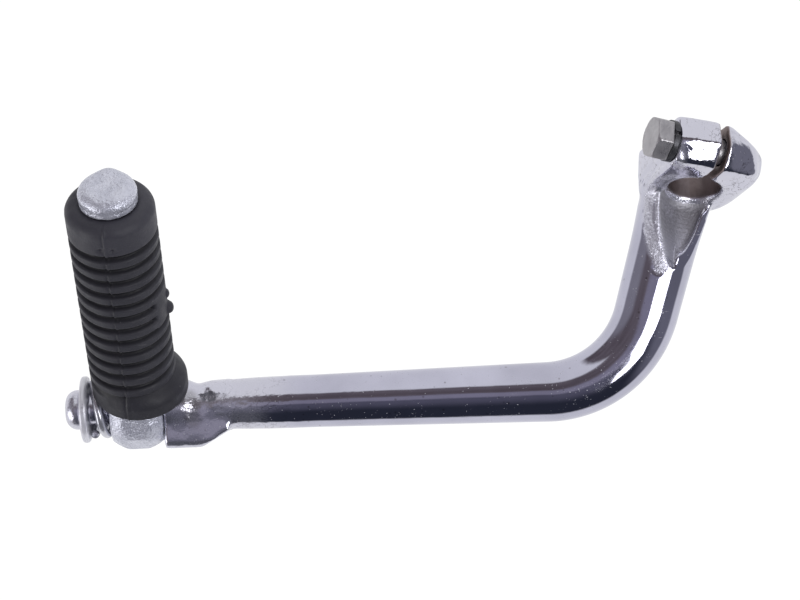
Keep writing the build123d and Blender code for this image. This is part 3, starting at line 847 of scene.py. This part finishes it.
# Pivot washer: a thick turned steel washer, zinc plated. The pivot's end is peened over it, so it keeps
# the spring and the pedal on.
washer_seat = 0.0152
washer_thickness = 0.0022
washer_bore = 0.00502
washer_radius = 0.0104
washer_round = 0.0008
turned_washer = place_object("turned_washer", bpy.data.meshes.new("turned_washer"))
washer_shape = bmesh.new()
washer_top = washer_seat + washer_thickness
section = [washer_shape.verts.new((radius, 0, height))
           for radius, height in ((washer_bore, washer_seat), (washer_radius, washer_seat),
                                  (washer_radius, washer_top), (washer_bore, washer_top))]
turned(washer_shape, section, 128)
bmesh.ops.recalc_face_normals(washer_shape, faces=washer_shape.faces)
rims = [edge for edge in washer_shape.edges if edge.calc_face_angle() > 1 and edge.verts[0].co.xy.length > 0.008]
bmesh.ops.bevel(washer_shape, geom=rims, offset=washer_round, affect="EDGES", segments=6, profile=0.5, material=-1)
bmesh.ops.transform(washer_shape, matrix=spring_frame, verts=washer_shape.verts)
close_mesh(washer_shape, turned_washer)
satin_zinc = plated_metal("satin_zinc", pale=(0.84, 0.845, 0.9, 1), deep=(0.74, 0.745, 0.81, 1), metallic=0.35,
                          roughness=0.36, grain_size=0.0016, grain_height=0.00004)
turned_washer.data.materials.append(satin_zinc)
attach(turned_washer, "arm")
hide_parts("pivot_washer")

# Pinch bolt: a plain steel hex bolt with a dull grey plating. It crosses the slit and threads into the
# lug's far side, and its head pulls the boss tight on the shaft.
bolt_voxel = 0.0002
clamp_bolt = skin_copy("pinch_bolt", "clamp_bolt", bolt_voxel)
bolt_shape = open_mesh(clamp_bolt.data)
relax(bolt_shape, bolt_shape.verts, rounds=6)
close_mesh(bolt_shape, clamp_bolt)
bolt_plating = plated_metal("dull_bolt_plating", pale=(0.47, 0.46, 0.48, 1), deep=(0.34, 0.33, 0.35, 1), metallic=0.7,
                            roughness=0.34, grain_size=0.0009, grain_height=0.00004)
clamp_bolt.data.materials.append(bolt_plating)
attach(clamp_bolt, "arm")
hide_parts("pinch_bolt")

# Lock washer: a split ring of dark spring steel between the bolt's head and the lug.
# The tightened bolt presses it flat.
split_ring = skin_copy("lock_washer", "split_ring", bolt_voxel)
ring_shape = open_mesh(split_ring.data)
relax(ring_shape, ring_shape.verts, rounds=5)
close_mesh(ring_shape, split_ring)
spring_steel = plated_metal("dark_spring_steel", pale=(0.09, 0.09, 0.1, 1), deep=(0.04, 0.04, 0.045, 1), metallic=0.8,
                            roughness=0.45, grain_size=0.0009, grain_height=0.00003)
split_ring.data.materials.append(spring_steel)
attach(split_ring, "arm")
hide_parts("lock_washer")

# Detent ball: a hardened steel ball in the shoulder's pocket. It runs in the eye's track, out of sight,
# and keeps the shape of its node.
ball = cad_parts["detent_ball"]
polished_ball = plated_metal("polished_ball", pale=(0.6, 0.6, 0.62, 1), deep=(0.52, 0.52, 0.55, 1), metallic=1,
                             roughness=0.12, grain_size=0.001, grain_height=0.000005)
ball.data.materials.clear()
ball.data.materials.append(polished_ball)

# Camera: on the photograph's side, looking down at the lever's front. The studio and the lamps are
# placed by its view.
view_axis = Vector((0.0394, -0.3746, 0.9263)).normalized()
view_right = Vector((0.9975, 0.0691, -0.0145))
view_right = (view_right - view_axis * view_right.dot(view_axis)).normalized()
view_up = view_axis.cross(view_right)
view_frame = Matrix((view_right, view_up, view_axis)).transposed()
view_middle = Vector((-0.089, -0.0415, -0.02))
view_distance = 0.78125
camera_data = bpy.data.cameras.new("camera")
camera_data.lens = 112.5
camera_data.sensor_width = 36
camera = place_object("camera", camera_data)
camera.matrix_world = Matrix.Translation(view_middle + view_axis * view_distance) @ view_frame.to_4x4()
bpy.context.scene.camera = camera
bpy.context.scene.view_settings.view_transform = "Standard"

# Floor: a plain pale sheet well below the lever. It looks white to the camera and keeps a soft shadow.
floor_drop = 0.12
floor = place_object("floor", bpy.data.meshes.new("floor"))
floor_shape = bmesh.new()
bmesh.ops.create_grid(floor_shape, x_segments=1, y_segments=1, size=3)
bmesh.ops.translate(floor_shape, verts=floor_shape.verts, vec=(0, 0, cad_box[0].z - floor_drop))
floor_shape.to_mesh(floor.data)
floor_shape.free()
floor.visible_glossy = False
pale_floor = bpy.data.materials.new("pale_floor")
pale_floor.use_nodes = True
tree = pale_floor.node_tree
shader = tree.nodes["Principled BSDF"]
shader.inputs["Base Color"].default_value = (0.9, 0.9, 0.9, 1)
shader.inputs["Roughness"].default_value = 0.9
shader.inputs["Specular IOR Level"].default_value = 0
glow = add_node(tree, "ShaderNodeEmission", (0, -300), color=(1, 1, 1, 1), strength=1.12)
path = add_node(tree, "ShaderNodeLightPath", (-300, 300))
blend = add_node(tree, "ShaderNodeMixShader", (300, 0))
tree.links.new(combine(tree, "MULTIPLY", (-100, 300), path.outputs["Is Camera Ray"], 0.85), blend.inputs[0])
tree.links.new(shader.outputs[0], blend.inputs[1])
tree.links.new(glow.outputs[0], blend.inputs[2])
tree.links.new(blend.outputs[0], tree.nodes["Material Output"].inputs["Surface"])
floor.data.materials.append(pale_floor)

# Studio: bright above and behind the lever and dark on the camera's side, in soft-edged bands that the
# chrome mirrors. To the camera itself it is white.
studio_dark = (0.03, 0.034, 0.05, 1)
studio_dusk = (0.12, 0.118, 0.16, 1)
studio_grey = (0.3, 0.285, 0.355, 1)
studio_white = (0.93, 0.93, 0.94, 1)
left_wall = (0.3, 0.29, 0.32, 1)
right_wall = (0.2, 0.2, 0.24, 1)
room_pale = (0.24, 0.21, 0.23, 1)
room_dark = (0.06, 0.045, 0.05, 1)
world = bpy.data.worlds.new("studio")
bpy.context.scene.world = world
world.use_nodes = True
tree = world.node_tree
tree.nodes.clear()
ray = add_node(tree, "ShaderNodeTexCoord", (-1800, 0)).outputs["Generated"]
clutter = add_node(tree, "ShaderNodeTexNoise", (-1800, 300), scale=5, detail=5)
room = mix_colours(tree, (-1600, 300), clutter.outputs[0], room_pale, room_dark)
# Each band's direction, where along it the band fades in, its colour and its place among the nodes.
studio_bands = [(view_up + view_axis * 0.65, -0.35, 0.35, studio_dusk, -1400),
                (view_up + view_axis * 0.16, -0.06, 0.06, studio_grey, -1200),
                (view_up - view_axis * 0.12, -0.06, 0.06, room, -1000),
                (view_up - view_axis * 0.7, -0.08, 0.06, studio_white, -800),
                (-view_right, 0.38, 0.48, room, -600),
                (-view_right, 0.72, 0.88, left_wall, -400),
                (view_right, 0.6, 0.85, right_wall, -200),
                (-view_axis, 0.03, 0.2, studio_white, 0)]
studio = studio_dark
for direction, low, high, colour, place in studio_bands:
    side = add_node(tree, "ShaderNodeVectorMath", (place - 200, -200), operation="DOT_PRODUCT")
    side.inputs[1].default_value = direction
    tree.links.new(ray, side.inputs[0])
    ramp = add_node(tree, "ShaderNodeMapRange", (place, -200), interpolation_type="SMOOTHSTEP", from_min=low,
                    from_max=high)
    tree.links.new(side.outputs["Value"], ramp.inputs["Value"])
    studio = mix_colours(tree, (place, 0), ramp.outputs["Result"], studio, colour)
path = add_node(tree, "ShaderNodeLightPath", (0, 300))
seen = mix_colours(tree, (200, 0), path.outputs["Is Camera Ray"], studio, (1, 1, 1, 1))
back = add_node(tree, "ShaderNodeBackground", (400, 0))
tree.links.new(seen, back.inputs["Color"])
out = add_node(tree, "ShaderNodeOutputWorld", (600, 0))
tree.links.new(back.outputs[0], out.inputs["Surface"])

# Lamps: a large soft light from the front right for the bar, a small low one for the lug's facet, and a
# fill from the left for the pedal's eye and spring.
lamp_distance = 0.7
leg_middle = Vector((-0.0096, -0.0285, -0.0181))


def soft_lamp(name, width, height, watts, aim, way):
    """A soft lamp that shines on a point from a direction."""
    lamp_data = bpy.data.lights.new(name, "AREA")
    lamp_data.shape = "RECTANGLE"
    lamp_data.size = width
    lamp_data.size_y = height
    lamp_data.energy = watts
    lamp = place_object(name, lamp_data)
    lamp.location = aim + way.normalized() * lamp_distance
    lamp.rotation_euler = way.normalized().to_track_quat("Z", "Y").to_euler()


soft_lamp("softbox", 0.4, 0.43, 2.2, leg_middle, view_right * 0.43 - view_up * 0.08 + view_axis * 0.8)
soft_lamp("low_softbox", 0.2, 0.2, 0.5, lug_front_point, view_right * 0.448 - view_up * 0.476 + view_axis * 0.76)
soft_lamp("fill", 0.5, 0.5, 2.0, pivot, view_axis * 0.3 - view_up * 0.42 - view_right * 0.854)
